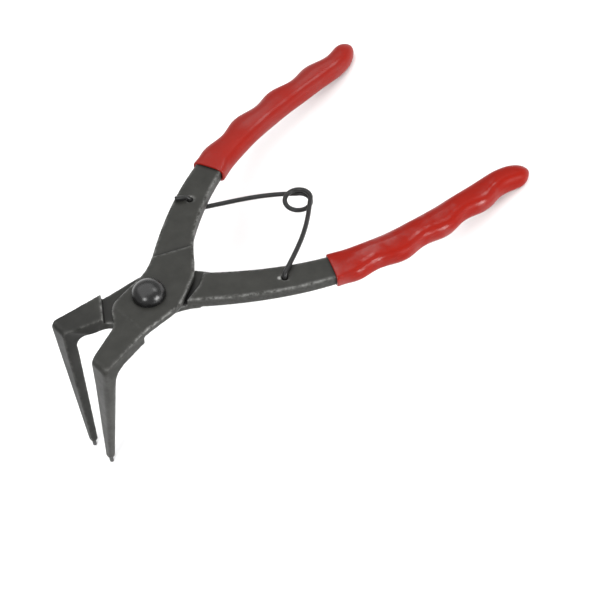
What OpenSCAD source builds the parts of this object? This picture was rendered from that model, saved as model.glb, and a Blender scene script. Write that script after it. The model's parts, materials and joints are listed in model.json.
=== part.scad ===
// Circlip pliers for internal retaining rings, with long jaws bent to a right angle.
// Two crossed levers turn on a domed rivet, and a wire spring holds the handles apart.
// Every sub-part is drawn in the tool's own frame: X runs from the pivot to the handles,
// Y across the tool and Z along the pivot's axis. stand() sets the tool on its tips and grips.

/* [Handles] */
// Pivot to the ends of the grips, along the middle of the tool
handle_reach = 159.5; // [150:0.5:170]
// Half the distance between the ends of the handles
handle_spread = 52.5; // [48:0.5:57]
// Angle at which a handle leaves the joint
handle_root_angle = 43; // [40:0.5:46]
// Angle at which a handle ends
handle_end_angle = 4.5; // [2:0.5:8]
// Width of a lever where its handle starts
bar_w = 15; // [14:0.25:16]
// Width of a lever at the mouth of its grip
mouth_w = 11.8; // [11:0.2:12.6]
// Width of a tang just inside the grip
tang_root_w = 8.6; // [7.8:0.2:9.2]
// Width of a tang at its end
tang_w = 5.2; // [4.4:0.2:6]
// Thickness of the handles
bar_t = 5; // [4.2:0.1:5.6]

/* [Joint] */
// Thickness of the joint, both levers together
joint_t = 6.4; // [5.8:0.1:7.2]
// Play between the lap faces of the two levers, and under the rivet's dome
lap_play = 0.1; // [0.05:0.05:0.2]
// Pivot to the corner of a lever's lap plate
plate_corner_r = 20.2; // [19:0.2:20.8]
// How much the inner edge of a lap plate widens from the handle to the joint
crotch_flare = 5.6; // [4.4:0.2:6]
// Pivot to the step on a jaw that the other lever's plate turns past
jaw_step_r = 19; // [18.4:0.2:20]
// Room around a lap plate as it turns
lap_clear = 0.5; // [0.3:0.1:1]
// Angle through which the handles close
closing_angle = 13; // [8:0.5:13]

/* [Rivet] */
// Diameter of the shank
shank_d = 8; // [6:0.25:9]
// Radial play of the front lever on the shank
shank_play = 0.05; // [0.02:0.01:0.1]
// Radial play of a driven piece in its hole
driven_play = 0.02; // [0.01:0.01:0.03]
// Diameter of the dome
dome_d = 13.8; // [12:0.2:15]
// Height of the dome
dome_h = 6; // [4:0.2:6.8]
// Diameter of the peened tail
tail_d = 11; // [10:0.25:13]
// Height of the peened tail
tail_h = 1.6; // [1:0.1:2.4]

/* [Jaws] */
// Pivot to the outer faces of the jaw legs
jaw_reach = 36.5; // [34:0.5:40]
// Middle of the joint to the ends of the legs
jaw_depth = 67; // [50:1:75]
// Slope of the jaw arms below the joint
arm_slope = 5.5; // [5:0.5:12]
// Half the gap between the jaws at the bend
bend_gap = 9; // [8:0.1:9.5]
// Width of a jaw at the bend
bend_w = 9; // [8.4:0.2:10]
// Thickness of a leg below the bend
leg_t = 5.4; // [5:0.1:6.4]
// Width and thickness of a leg at its end
leg_end = 3; // [2.8:0.1:3.2]
// Radius inside the bend
bend_fillet = 6; // [4:0.5:7]
// Radius outside the bend
bend_round = 2.2; // [1.6:0.2:4]

/* [Tips] */
// Half the distance between the tip pins
tip_gap = 5.9; // [5.9:0.1:7]
// Diameter of a tip pin
pin_d = 1.8; // [1.2:0.1:2]
// Length of a tip pin outside its leg
pin_out = 3; // [2:0.25:5]
// Length of a tip pin inside its leg
pin_in = 8; // [5:0.5:12]
// Width of the shoulder that seats a tip pin on its leg
pin_seat = 0.25; // [0.2:0.05:0.3]

/* [Spring] */
// Diameter of the wire
wire_d = 2; // [1.6:0.1:2.2]
// Mean diameter of the coil
coil_d = 10.8; // [9:0.2:13]
// Pivot to the middle of the coil
coil_at = 78.8; // [74:0.2:84]
// Start of a handle to its spring hole, along the handle
hole_at = 43.5; // [40:0.5:47]
// Radial room of the wire in its hole
hole_room = 0.4; // [0.3:0.05:0.6]
// Room between the wire and what it passes
wire_room = 0.3; // [0.2:0.05:0.5]
// Length of the end folded over the front lever
front_stub = 6.2; // [4:0.2:7]
// Length of the end folded under the rear lever
rear_stub = 4.4; // [3.6:0.2:7]
// Radius of the wire's bends
wire_bend = 2; // [1.6:0.1:2.4]
// How far the spring's legs bow out, away from the pivot
leg_bow = 2; // [0:0.1:3]

/* [Grips] */
// Length of a grip along its handle
grip_len = 98.5; // [96:0.5:104]
// Wall of a grip at its mouth
mouth_wall = 1.5; // [1.3:0.1:1.9]
// Wall of a grip over the faces of its tang
face_wall = 2.7; // [2.2:0.1:3.4]
// Outer half of a grip's width, near its mouth
grip_out = 6.9; // [6.6:0.1:7.4]
// Inner half of a grip's width, near its mouth
grip_in = 7.3; // [6.9:0.1:7.8]
// How much narrower each half gets towards the end
grip_taper = 1.9; // [1.2:0.1:2.2]
// Mouth to the first finger bump
wave_start = 8; // [6:0.5:10]
// Distance between the finger bumps
wave_pitch = 21.5; // [19:0.25:24]
// Height of the finger bumps above the middle of the wave
wave_h = 0.9; // [0.5:0.05:1.1]
// Solid end of a grip, past the tang
end_wall = 8; // [6:0.5:11]
// Room between a grip and its tang
tang_room = 0.15; // [0.1:0.05:0.25]

/* [Hidden] */
$fn = 64;
steel = [0.27, 0.27, 0.26];
dark_steel = [0.15, 0.15, 0.15];
grip_red = [0.72, 0.2, 0.17];
half_t = joint_t / 2;

// Curves and small vector tools
function unit(a) = [cos(a), sin(a)];
function side_of(a) = [-sin(a), cos(a)];
function turned(p, a) = [p.x * cos(a) - p.y * sin(a), p.x * sin(a) + p.y * cos(a)];
function mix(a, b, t) = a + (b - a) * t;
function clamp01(t) = min(1, max(0, t));
function eased(t) = let (c = clamp01(t)) c * c * (3 - 2 * c);
function on_line(a, b, x) = mix(a, b, (x - a.x) / (b.x - a.x));
function arch(a, b, c, n) =
    [for (i = [0:n]) let (t = i / n) (1 - t) ^ 2 * a + 2 * t * (1 - t) * b + t ^ 2 * c];
function rounded(from, corner, to, size, n) =
    arch(corner + size * (from - corner) / norm(from - corner), corner,
         corner + size * (to - corner) / norm(to - corner), n);
function bezier(p, t) =
    (1 - t) ^ 3 * p[0] + 3 * t * (1 - t) ^ 2 * p[1] + 3 * t ^ 2 * (1 - t) * p[2] + t ^ 3 * p[3];

// Skin over a row of closed rings that all have the same number of points
module skin(rings) {
    n = len(rings[0]);
    last = len(rings) - 1;
    points = [for (ring = rings) each ring];
    walls = [for (i = [0:last - 1], j = [0:n - 1])
        let (k = (j + 1) % n)
        each [[i * n + j, (i + 1) * n + k, i * n + k], [i * n + j, (i + 1) * n + j, (i + 1) * n + k]]];
    start_cap = [for (j = [0:n - 1]) j];
    end_cap = [for (j = [n - 1:-1:0]) last * n + j];
    polyhedron(points, concat([start_cap, end_cap], walls));
}

// A handle's centre line, with places along it named by their distance from its start
handle_root = [11, 3.5];
root_pull = 76.5;
end_pull = 57;
handle_end = [handle_reach, handle_spread];
handle_poles = [handle_root,
                handle_root + root_pull * unit(handle_root_angle),
                handle_end - end_pull * unit(handle_end_angle),
                handle_end];
curve_steps = 60;
curve_points = [for (i = [0:curve_steps]) bezier(handle_poles, i / curve_steps)];
function curve_length(i) = i == 0 ? 0 : curve_length(i - 1) + norm(curve_points[i] - curve_points[i - 1]);
length_to_t = [for (i = [0:curve_steps]) [curve_length(i), i / curve_steps]];
handle_len = curve_length(curve_steps);
function handle_point(s) = bezier(handle_poles, lookup(s, length_to_t));
function handle_angle(s) =
    let (d = handle_point(min(s + 0.5, handle_len)) - handle_point(max(s - 0.5, 0)))
    atan2(d.y, d.x);
function beside(s, offset) = handle_point(s) + offset * side_of(handle_angle(s));

// Half the width of a lever's bar, and of its tang inside the grip
tang_step = 4;
mouth_at = handle_len - grip_len;
tang_at = mouth_at + tang_step;
tang_end = handle_len - end_wall;
function bar_half(s) =
    s < mouth_at ? mix(bar_w, mouth_w, s / mouth_at) / 2
    : s < tang_at ? mix(mouth_w, tang_root_w, eased((s - mouth_at) / tang_step)) / 2
    : mix(tang_root_w, tang_w, (s - tang_at) / (tang_end - tang_at)) / 2;
function outer_edge(s) = beside(s, bar_half(s));
function places(from, to, steps) = [for (i = [0:steps]) mix(from, to, i / steps)];
tang_places = concat(places(mouth_at, tang_at, 4), places(tang_at + tang_step, tang_end, 24));
function strip(at, room) = concat(
    [for (s = at) beside(s, bar_half(s) + room)],
    [for (i = [len(at) - 1:-1:0]) beside(at[i], -bar_half(at[i]) - room)]);

// The lap plate's half of a lever runs out along the handle's inner edge
flare_from = 10;
flare_to = 30;
flare_places = places(flare_from, flare_to, 8);
function inner_edge(s) = beside(s, -bar_half(s) - crotch_flare * clamp01(1 - s / flare_to) ^ 1.5);
flare_strip = concat([for (s = flare_places) handle_point(s)],
                     [for (i = [len(flare_places) - 1:-1:0]) inner_edge(flare_places[i])]);

// Outline of a lap plate, seen from the dome's side: the handle leaves it upwards to the
// right, and the jaw arm downwards to the left
fillet_from = 9;
boss_to = 18;
neck_top = [-4, 8.7];
neck_corner = [-14.5, 6.4];
crotch = [-19.5, -2.5];
chord_end = [5.5, -12.9];
arm_root = [-13.5, -13.8];
arm_cut = -24;
plate_corner = plate_corner_r * unit(-12);
flare_end = inner_edge(flare_from);
bend_in = [-jaw_reach, -bend_gap];
bend_out = [-jaw_reach, -bend_gap - bend_w];
function arm_inner(x) = on_line(crotch, bend_in, x).y;
function arm_outer(x) = on_line(arm_root, bend_out, x).y;
plate_outline = concat(
    arch(outer_edge(fillet_from), outer_edge(1.5), neck_top, 10),
    rounded(neck_top, neck_corner, crotch, 4, 6),
    rounded(neck_corner, crotch, bend_in, 2.5, 4),
    [[arm_cut, arm_inner(arm_cut)], [arm_cut, arm_outer(arm_cut)]],
    rounded(bend_out, arm_root, chord_end, 6, 5),
    rounded(arm_root, chord_end, plate_corner, 3, 5),
    rounded(chord_end, plate_corner, flare_end, 1.5, 4),
    [for (s = [flare_from:2:boss_to - 2]) inner_edge(s)],
    arch(inner_edge(boss_to), beside(13, 0), outer_edge(fillet_from + 0.5), 8));

// Recess for the other lever's plate: the room that it sweeps as the handles close. It is
// bounded by the closed plate's chord and inner edge on the handle, and by a step on the jaw.
jaw_step_angle = 213;
function closed(p) = turned([p.x, -p.y], closing_angle);
function heading(a, b) = atan2(b.y - a.y, b.x - a.x);
swept_corner = closed(plate_corner);
chord_heading = heading(swept_corner, closed(chord_end));
flare_heading = heading(swept_corner, closed(flare_end));
past = 1.5 * plate_corner_r;
jaw_foot = jaw_step_r * unit(jaw_step_angle);
shoulder_from = swept_corner + lap_clear * unit(chord_heading - 90);
recess_outline = concat(
    [shoulder_from + past * unit(chord_heading)],
    [for (i = [0:4]) swept_corner + lap_clear * unit(mix(chord_heading - 90, flare_heading + 90, i / 4))],
    [swept_corner + lap_clear * unit(flare_heading + 90) + past * unit(flare_heading),
     jaw_foot + past * side_of(jaw_step_angle),
     jaw_foot - past * side_of(jaw_step_angle)]);

// A jaw in the X-Z plane: paired points on its outer and inner line, from the arm round the
// bend to the tip, each pair with a share of the corner radii and a share of the bend's turn
function arm_drop(x) = tan(arm_slope) * max(0, arm_root.x - x);
function arm_top(x) = half_t - arm_drop(x);
function arm_under(x) = -half_t - arm_drop(x);
round_x = -jaw_reach + bend_round;
round_mid = [round_x, arm_top(round_x) - bend_round / cos(arm_slope)];
fillet_x = -jaw_reach + leg_t + bend_fillet;
fillet_mid = [fillet_x, arm_under(fillet_x) - bend_fillet / cos(arm_slope)];
bend_steps = 8;
leg_top = fillet_mid.y - 4;
tip_x = -jaw_reach + leg_end / 2;
tip_chamfer = 0.5;
chamfer_top = -jaw_depth + 2 * tip_chamfer;
jaw_stations = concat(
    [[[arm_cut, arm_top(arm_cut)], [arm_cut, arm_under(arm_cut)], 0.25, 0]],
    [for (i = [0:bend_steps])
        let (turn = i / bend_steps, n = side_of(mix(arm_slope, 90, turn)))
        [round_mid + bend_round * n, fillet_mid + bend_fillet * n, mix(0.3, 1, eased(2 * turn)), turn]],
    [[[-jaw_reach, leg_top], [-jaw_reach + leg_t, leg_top], 1, 1],
     [[-jaw_reach, chamfer_top], [-jaw_reach + leg_end, chamfer_top], 0.35, 1],
     [[tip_x - leg_end / 2 + tip_chamfer, -jaw_depth],
      [tip_x + leg_end / 2 - tip_chamfer, -jaw_depth], 0.3, 1]]);
outer_radius = 2.2;
inner_radius = 0.6;
corner_steps = 4;
taper_from = 6;
function leg_part(z) = clamp01((-z - taper_from) / (jaw_depth - taper_from));
function end_inset(z) = max(0, tip_chamfer * (1 - (z + jaw_depth) / (2 * tip_chamfer)));
function squared_x(p, turn) = mix(p.x, -jaw_reach, turn);
function jaw_inner_y(p, turn) =
    mix(arm_inner(squared_x(p, turn)), -tip_gap + leg_end / 2, leg_part(p.y)) - end_inset(p.y);
function jaw_outer_y(p, turn) =
    mix(arm_outer(squared_x(p, turn)), -tip_gap - leg_end / 2, leg_part(p.y)) + end_inset(p.y);
function jaw_ring(station) =
    let (outer = station[0], inner = station[1], depth = norm(outer - inner),
         along = (outer - inner) / depth)
    [for (quarter = [0:3], j = [0:corner_steps])
        let (a = 90 * (quarter + j / corner_steps),
             on_outer_line = quarter == 0 || quarter == 3,
             on_far_side = quarter >= 2,
             r = station[2] * (on_far_side ? outer_radius : inner_radius),
             at = inner + along * ((on_outer_line ? depth - r : r) + r * cos(a)),
             turn = station[3],
             y = on_far_side ? jaw_outer_y(at, turn) + r : jaw_inner_y(at, turn) - r)
        [at.x, y + r * sin(a), at.y]];

// The spring wire's centre line on the front side, from its folded end to the coil's middle
hole = handle_point(hole_at);
coil_r = coil_d / 2;
to_coil = [coil_at, 0] - hole;
leg_angle = atan2(to_coil.y, to_coil.x) + asin(coil_r / norm(to_coil));
leg_dir = unit(leg_angle);
leg_len = sqrt(norm(to_coil) ^ 2 - coil_r ^ 2);
coil_from = leg_angle + 90;
coil_pitch = wire_d + wire_room;
wire_z = bar_t / 2 + wire_room + wire_d / 2;
butt_angle = -180 + asin(wire_room / 2 / coil_r);
function bow(s) = leg_bow * sin(180 * clamp01((s - wire_bend) / (leg_len - wire_bend)));
function along_leg(s, z) = let (p = hole + s * leg_dir + bow(s) * side_of(leg_angle)) [p.x, p.y, z];
function coil_z(a) = -coil_pitch * (a + 180) / 360;
bend_points = 5;
leg_points = 8;
coil_points = 20;
function wire_path(stub) = concat(
    [along_leg(-stub, wire_z)],
    [for (i = [0:bend_points]) let (a = 90 * i / bend_points)
        along_leg(-wire_bend * (1 - sin(a)), wire_z - wire_bend * (1 - cos(a)))],
    [for (i = [0:bend_points]) let (a = 90 * i / bend_points)
        along_leg(wire_bend * (1 - cos(a)), -wire_z + wire_bend * (1 - sin(a)))],
    [for (i = [1:leg_points]) let (t = i / leg_points)
        along_leg(mix(wire_bend, leg_len, t), mix(-wire_z, coil_z(coil_from), eased((t - 0.2) / 0.8)))],
    [for (i = [1:coil_points]) let (a = mix(coil_from, butt_angle, i / coil_points))
        [coil_at + coil_r * cos(a), coil_r * sin(a), coil_z(a)]]);
wire_sides = 10;
function direction(path, i) =
    let (d = path[min(i + 1, len(path) - 1)] - path[max(i - 1, 0)]) d / norm(d);
function squared(v, d) = let (w = v - (v * d) * d) w / norm(w);
function tube_rings(path, r, start) =
    [for (i = 0, v = squared(start, direction(path, 0)); i < len(path);
          i = i + 1, v = i < len(path) ? squared(v, direction(path, i)) : v)
        let (w = cross(direction(path, i), v))
        [for (j = [0:wire_sides - 1]) let (a = 360 * j / wire_sides)
            path[i] + r * (cos(a) * v + sin(a) * w)]];

// A grip's edges beside its handle's centre line, with finger bumps on the outer side
end_round_out = 7;
end_round_in = 16;
end_round_t = 9;
end_offset = 2.5;
mouth_ramp = 8;
mouth_power = 0.6;
full_power = 0.85;
grip_t = bar_t + 2 * face_wall;
grip_sides = 20;
grip_rings = 46;
function grip_share(s) = (s - mouth_at) / grip_len;
function dome_end(s, run) = sqrt(max(0, 1 - clamp01((s - handle_len + run) / run) ^ 2));
function swelling(s, mouth, full) = mix(mouth, full, eased((s - mouth_at) / mouth_ramp));
function wave(s) = wave_h * cos(360 * (s - mouth_at - wave_start) / wave_pitch);
function grip_edge_out(s) =
    mix(end_offset, swelling(s, mouth_w / 2 + mouth_wall, grip_out - grip_taper * grip_share(s) + wave(s)),
        dome_end(s, end_round_out));
function grip_edge_in(s) =
    mix(end_offset, -swelling(s, mouth_w / 2 + mouth_wall, grip_in - grip_taper * grip_share(s)),
        dome_end(s, end_round_in));
function grip_half_t(s) =
    swelling(s, bar_t / 2 + mouth_wall, grip_t / 2) * dome_end(s, end_round_t);
function swung(v, power) = sign(v) * abs(v) ^ power;
function grip_ring(s) =
    let (out = grip_edge_out(s), in = grip_edge_in(s), half = (out - in) / 2, t = grip_half_t(s),
         power = swelling(s, mouth_power, full_power))
    [for (j = [0:grip_sides - 1])
        let (a = 360 * j / grip_sides,
             p = beside(s, (out + in) / 2 + half * swung(cos(a), power)))
        [p.x, p.y, t * swung(sin(a), power)]];
function grip_place(i) = mouth_at + (grip_len - 0.05) * sin(90 * i / grip_rings) ^ 0.9;

// Standing: the tilt at which the tip pins and the rounded ends of the grips touch one plane
pin_end = -jaw_depth - pin_out;
end_x = handle_reach - end_round_t;
function end_radius(a) = norm([end_round_t * sin(a), grip_t / 2 * cos(a)]);
function tilt_after(a, rounds) =
    rounds == 0 ? a
    : tilt_after(atan2(-pin_end - (grip_t / 2) ^ 2 * cos(a) / end_radius(a),
                       end_x + end_round_t ^ 2 * sin(a) / end_radius(a) - tip_x - pin_d / 2), rounds - 1);
tilt = tilt_after(19, 6);
floor_z = -(tip_x + pin_d / 2) * sin(tilt) + pin_end * cos(tilt);
back_x = (tip_x - pin_d / 2) * cos(tilt) + pin_end * sin(tilt);
front_x = end_x * cos(tilt) + norm([end_round_t * cos(tilt), grip_t / 2 * sin(tilt)]);
stand_shift = [-(back_x + front_x) / 2, 0, -floor_z];

module stand() {
    translate(stand_shift) rotate([0, tilt, 0]) children();
}

// The front parts are drawn as they are, and the rear ones are their mirror image across Y
module on_side(side) {
    mirror([0, side < 0 ? 1 : 0, 0]) children();
}

// Everything between the top and the underside of the joint and the sloping jaw arm
module side_slab() {
    rotate([90, 0, 0]) linear_extrude(2 * past, center = true) polygon([
        [past, half_t], [arm_root.x, half_t], [arm_cut, arm_top(arm_cut)],
        [arm_cut, arm_under(arm_cut)], [arm_root.x, -half_t], [past, -half_t]]);
}

// Material on the lap plate's half of the joint
module plate_half(side, t) {
    translate([0, 0, side > 0 ? 0 : -t]) linear_extrude(t) children();
}

// The lap plate on one half of the joint, and the jaw's root at its full thickness
module joint_body(side) {
    root_x = -8;
    intersection() {
        side_slab();
        union() {
            plate_half(side, half_t) polygon(plate_outline);
            linear_extrude(2 * joint_t, center = true) intersection() {
                polygon(plate_outline);
                translate([root_x - past, -past]) square([past, 2 * past]);
            }
        }
    }
}

module lap_recess(side) {
    translate([0, 0, side > 0 ? -joint_t : -lap_play / 2])
        linear_extrude(joint_t + lap_play / 2) polygon(recess_outline);
}

module lever(side, bore_play) {
    bar_from = 2;
    on_side(side) difference() {
        union() {
            joint_body(side);
            linear_extrude(bar_t, center = true)
                polygon(strip(concat(places(bar_from, mouth_at - bar_from, 24), tang_places), 0));
            plate_half(side, bar_t / 2) polygon(flare_strip);
            skin([for (station = jaw_stations) jaw_ring(station)]);
        }
        lap_recess(side);
        cylinder(h = 2 * joint_t, d = shank_d + 2 * bore_play, center = true);
        translate([hole.x, hole.y, 0]) cylinder(h = 2 * bar_t, d = wire_d + 2 * hole_room, center = true);
        translate([tip_x, -tip_gap, pin_end])
            cylinder(h = pin_out + pin_in, d = pin_d - 2 * pin_seat + 2 * driven_play);
    }
}

module front_lever() {
    color(steel) stand() lever(1, shank_play);
}

module rear_lever() {
    color(steel) stand() lever(-1, driven_play);
}

// A half ellipse's quarter, from its foot to its crown
function crown(foot_r, foot_z, height, steps) =
    [for (i = [0:steps]) let (a = 90 * i / steps) [foot_r * cos(a), foot_z + height * sin(a)]];

module pivot_rivet() {
    dome_foot = half_t + lap_play / 2;
    dome_rim = 0.5;
    color(dark_steel) stand() rotate_extrude() polygon(concat(
        [[shank_d / 2, -half_t], [shank_d / 2, dome_foot], [dome_d / 2, dome_foot]],
        crown(dome_d / 2, dome_foot + dome_rim, dome_h - dome_rim, 16),
        [for (i = [8:-1:0]) let (a = 90 * i / 8) [tail_d / 2 * cos(a), -half_t - tail_h * sin(a)]]));
}

module grip(side) {
    on_side(side) difference() {
        skin([for (i = [0:grip_rings]) grip_ring(grip_place(i))]);
        linear_extrude(bar_t + 2 * tang_room, center = true)
            polygon(strip(concat([mouth_at - 1], tang_places, [tang_end + tang_room]), tang_room));
    }
}

module front_grip() {
    color(grip_red) stand() grip(1);
}

module rear_grip() {
    color(grip_red) stand() grip(-1);
}

// Half of the spring; the other half is the same wire turned over about X
module spring_arm(stub) {
    skin(tube_rings(wire_path(stub), wire_d / 2, [0, 0, 1]));
}

module spring_front_arm() {
    color(dark_steel) stand() spring_arm(front_stub);
}

module spring_rear_arm() {
    color(dark_steel) stand() rotate([180, 0, 0]) spring_arm(rear_stub);
}

module tip_pin(side) {
    edge = 0.25;
    nib_r = pin_d / 2;
    shank_r = nib_r - pin_seat;
    on_side(side) translate([tip_x, -tip_gap, pin_end]) rotate_extrude() polygon([
        [0, 0], [nib_r - edge, 0], [nib_r, edge], [nib_r, pin_out], [shank_r, pin_out],
        [shank_r, pin_out + pin_in], [0, pin_out + pin_in]]);
}

module front_tip_pin() {
    color(dark_steel) stand() tip_pin(1);
}

module rear_tip_pin() {
    color(dark_steel) stand() tip_pin(-1);
}

front_lever();
rear_lever();
pivot_rivet();
front_grip();
rear_grip();
spring_front_arm();
spring_rear_arm();
front_tip_pin();
rear_tip_pin();
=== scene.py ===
"""Circlip pliers with right-angled jaws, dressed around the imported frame.

Sizes are in millimetres in the tool's own frame, in which u runs from the pivot to the handles,
v across the tool and w along the pivot's axis. Meshes are in metres, in the frame of the pack.
"""

from __future__ import annotations

import json
import logging
import math
from dataclasses import dataclass, field
from enum import Enum
from typing import Any, Callable, Mapping, Sequence, Union

import bmesh
import bpy
import numpy as np
from mathutils import Matrix, Vector

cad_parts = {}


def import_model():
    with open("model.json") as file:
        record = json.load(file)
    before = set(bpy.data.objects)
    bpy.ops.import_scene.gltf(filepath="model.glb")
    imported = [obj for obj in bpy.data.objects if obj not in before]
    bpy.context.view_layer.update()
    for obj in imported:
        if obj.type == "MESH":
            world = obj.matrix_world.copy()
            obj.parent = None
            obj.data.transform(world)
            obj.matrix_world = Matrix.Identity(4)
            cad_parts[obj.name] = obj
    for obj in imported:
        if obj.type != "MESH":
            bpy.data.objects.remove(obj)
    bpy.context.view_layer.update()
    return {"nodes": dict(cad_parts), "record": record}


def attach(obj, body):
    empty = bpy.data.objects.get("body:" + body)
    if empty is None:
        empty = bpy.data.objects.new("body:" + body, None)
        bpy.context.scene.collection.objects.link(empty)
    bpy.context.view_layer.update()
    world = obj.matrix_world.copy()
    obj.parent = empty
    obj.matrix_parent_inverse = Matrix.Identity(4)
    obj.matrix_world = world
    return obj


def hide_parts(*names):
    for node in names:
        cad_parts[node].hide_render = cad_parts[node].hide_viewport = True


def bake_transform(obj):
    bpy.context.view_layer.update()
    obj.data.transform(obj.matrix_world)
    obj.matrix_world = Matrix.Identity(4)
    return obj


LOG = logging.getLogger("pliers")
MM = 0.001
SHARP_ANGLE = 50.0
# Places of the colour sockets of a Mix node
MIX_FIRST, MIX_SECOND, MIX_RESULT = 6, 7, 2
# Names of the masks that pieces carry and finishes read
WEAR = "edge_wear"
WALL = "cut_wall"
# Painted shade in hollows, on the lap faces and on the rear leg
PAINTED_SHADE_MASK = "hollow"
# Painted shade on the sleeve's turned-in lip
LIP_SHADE_MASK = "lip"
# Painted glint beside the rear spring hole
GLINT_MASK = "bare_spot"


class Side(Enum):
    """The two halves of the tool, named by where their handles lie."""

    FRONT = 1
    REAR = -1

    @property
    def half(self) -> str:
        """Body that the lever of this side belongs to."""
        return f"{self.name.lower()}_half"

    @property
    def spring(self) -> str:
        """Body that this side's end of the spring belongs to."""
        return f"spring_{self.name.lower()}"

    def node(self, kind: str) -> str:
        """Name of this side's node of a kind, such as its lever."""
        return f"{self.name.lower()}_{kind}"


@dataclass(frozen=True)
class ToolFrame:
    """The tool's own axes, as they stand in the frame of the pack."""

    pivot: Vector
    along: Vector
    across: Vector
    axis: Vector
    coil_at: float

    @classmethod
    def from_record(cls, record: Mapping[str, Any]) -> ToolFrame:
        """Read the axes from the joints.

        Args:
            record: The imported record.

        Returns:
            The tool's frame, with its pivot in metres and the coil's distance in millimetres.
        """
        joints = {joint["name"]: joint for joint in record["behaviour"]["joints"]}
        pivot = Vector(joints["pivot"]["pos_m"])
        axis = -Vector(joints["pivot"]["axis"]).normalized()
        across = Vector((0.0, 1.0, 0.0))
        along = across.cross(axis).normalized()
        coil_at = (Vector(joints["spring_flex"]["pos_m"]) - pivot).dot(along) / MM
        return cls(pivot, along, across, axis, coil_at)

    @property
    def matrix(self) -> Matrix:
        """Turns a point in metres in the tool's axes into a point of the pack's frame."""
        turn = Matrix((self.along, self.across, self.axis)).transposed().to_4x4()
        return Matrix.Translation(self.pivot) @ turn

    def point(self, u: float, v: float, w: float) -> Vector:
        """Point of the pack's frame, in metres, from millimetres in the tool's axes."""
        return self.matrix @ Vector((u * MM, v * MM, w * MM))


# Node trees


Value = Union["Term", bpy.types.NodeSocket, bpy.types.Material, Sequence[float], float, int, bool]


def plug(tree: bpy.types.NodeTree, socket: bpy.types.NodeSocket, value: Value) -> None:
    """Feed a socket from another socket, or set its own value.

    Args:
        tree: Tree that holds the socket.
        socket: Input to feed.
        value: Term, socket or plain value.
    """
    if isinstance(value, Term):
        value = value.socket
    if isinstance(value, bpy.types.NodeSocket):
        tree.links.new(value, socket)
    else:
        socket.default_value = value


class Term:
    """A number in a node tree; arithmetic on it adds Math nodes."""

    def __init__(self, tree: bpy.types.NodeTree, socket: bpy.types.NodeSocket) -> None:
        """Keep the tree and the socket that holds the number."""
        self.tree = tree
        self.socket = socket

    def math(self, operation: str, *others: Value) -> Term:
        """Add a Math node whose first input is this number.

        Args:
            operation: What the node does.
            others: Its further inputs.

        Returns:
            The result.
        """
        node = self.tree.nodes.new("ShaderNodeMath")
        node.operation = operation
        for socket, value in zip(node.inputs, (self, *others)):
            plug(self.tree, socket, value)
        return Term(self.tree, node.outputs[0])

    def __add__(self, other: Value) -> Term:
        """Sum."""
        return self.math("ADD", other)

    def __sub__(self, other: Value) -> Term:
        """Difference."""
        return self.math("SUBTRACT", other)

    def __mul__(self, other: Value) -> Term:
        """Product."""
        return self.math("MULTIPLY", other)

    def __truediv__(self, other: Value) -> Term:
        """Quotient."""
        return self.math("DIVIDE", other)

    def __pow__(self, power: Value) -> Term:
        """Power."""
        return self.math("POWER", power)

    def __neg__(self) -> Term:
        """The number with its sign turned."""
        return self * -1.0

    def stretched(self, gain: float, cut: float) -> Term:
        """The number with more contrast, less what is cut off."""
        return self * gain - cut

    def clamped(self) -> Term:
        """The number held between 0 and 1."""
        return self.math("MAXIMUM", 0.0).math("MINIMUM", 1.0)

    def eased(self) -> Term:
        """Smooth step from 0 to 1."""
        held = self.clamped()
        return held * held * (held * -2.0 + 3.0)

    def towards(self, other: Value, share: Term) -> Term:
        """This number at share 0, the other at share 1."""
        return share * (-self + other) + self

    def rooted(self, power: Value) -> Term:
        """Power of the size of the number, with its sign kept."""
        return self.math("ABSOLUTE") ** power * self.math("SIGN")


class Tree:
    """A node tree that is being built."""

    def __init__(self, name: str, kind: str) -> None:
        """Start an empty group.

        Args:
            name: Name of the group.
            kind: Type of the tree, such as GeometryNodeTree.
        """
        self.tree = bpy.data.node_groups.new(name, kind)
        self.entry = self.tree.nodes.new("NodeGroupInput")
        self.exit = self.tree.nodes.new("NodeGroupOutput")

    def takes(self, name: str, kind: str) -> bpy.types.NodeSocket:
        """Add an input of the group and return it as the tree sees it."""
        self.tree.interface.new_socket(name, in_out="INPUT", socket_type=kind)
        return self.entry.outputs[name]

    def number(self, name: str) -> Term:
        """Add a number to the group's inputs."""
        return Term(self.tree, self.takes(name, "NodeSocketFloat"))

    def gives(self, name: str, kind: str, value: Value) -> None:
        """Add an output of the group and feed it."""
        self.tree.interface.new_socket(name, in_out="OUTPUT", socket_type=kind)
        plug(self.tree, self.exit.inputs[name], value)

    def add(self, kind: str, inputs: Mapping[str, Value], **settings: Any) -> bpy.types.Node:
        """Add a node, as add_node does."""
        return add_node(self.tree, kind, inputs, **settings)

    def noise(self, scale: Value, detail: float, roughness: float) -> Term:
        """Noise in the piece's own place.

        Args:
            scale: Scale of the noise.
            detail: Number of finer layers.
            roughness: Strength of the finer layers.

        Returns:
            The noise, around 0.5.
        """
        place = self.add("ShaderNodeTexCoord", {}).outputs["Object"]
        inputs = {"Vector": place, "Scale": scale, "Detail": detail, "Roughness": roughness}
        return Term(self.tree, self.add("ShaderNodeTexNoise", inputs).outputs["Fac"])

    def ends_in(self, name: str, geometry: bpy.types.NodeSocket, finish: bpy.types.NodeSocket) -> None:
        """Smooth the result, make it real, give it its finish and put it out.

        Args:
            name: Name of the group's output.
            geometry: The result.
            finish: Its material.
        """
        smooth = self.add("GeometryNodeSetShadeSmooth", {"Geometry": geometry})
        real = self.add("GeometryNodeRealizeInstances", {"Geometry": smooth.outputs[0]})
        done = self.add("GeometryNodeSetMaterial", {"Geometry": real.outputs[0], "Material": finish})
        self.gives(name, "NodeSocketGeometry", done.outputs[0])


def carried_mask(tree: bpy.types.NodeTree, name: str) -> Term:
    """Mask that a piece carries, in a shader tree."""
    return Term(tree, add_node(tree, "ShaderNodeAttribute", {}, attribute_name=name).outputs["Fac"])


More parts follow.
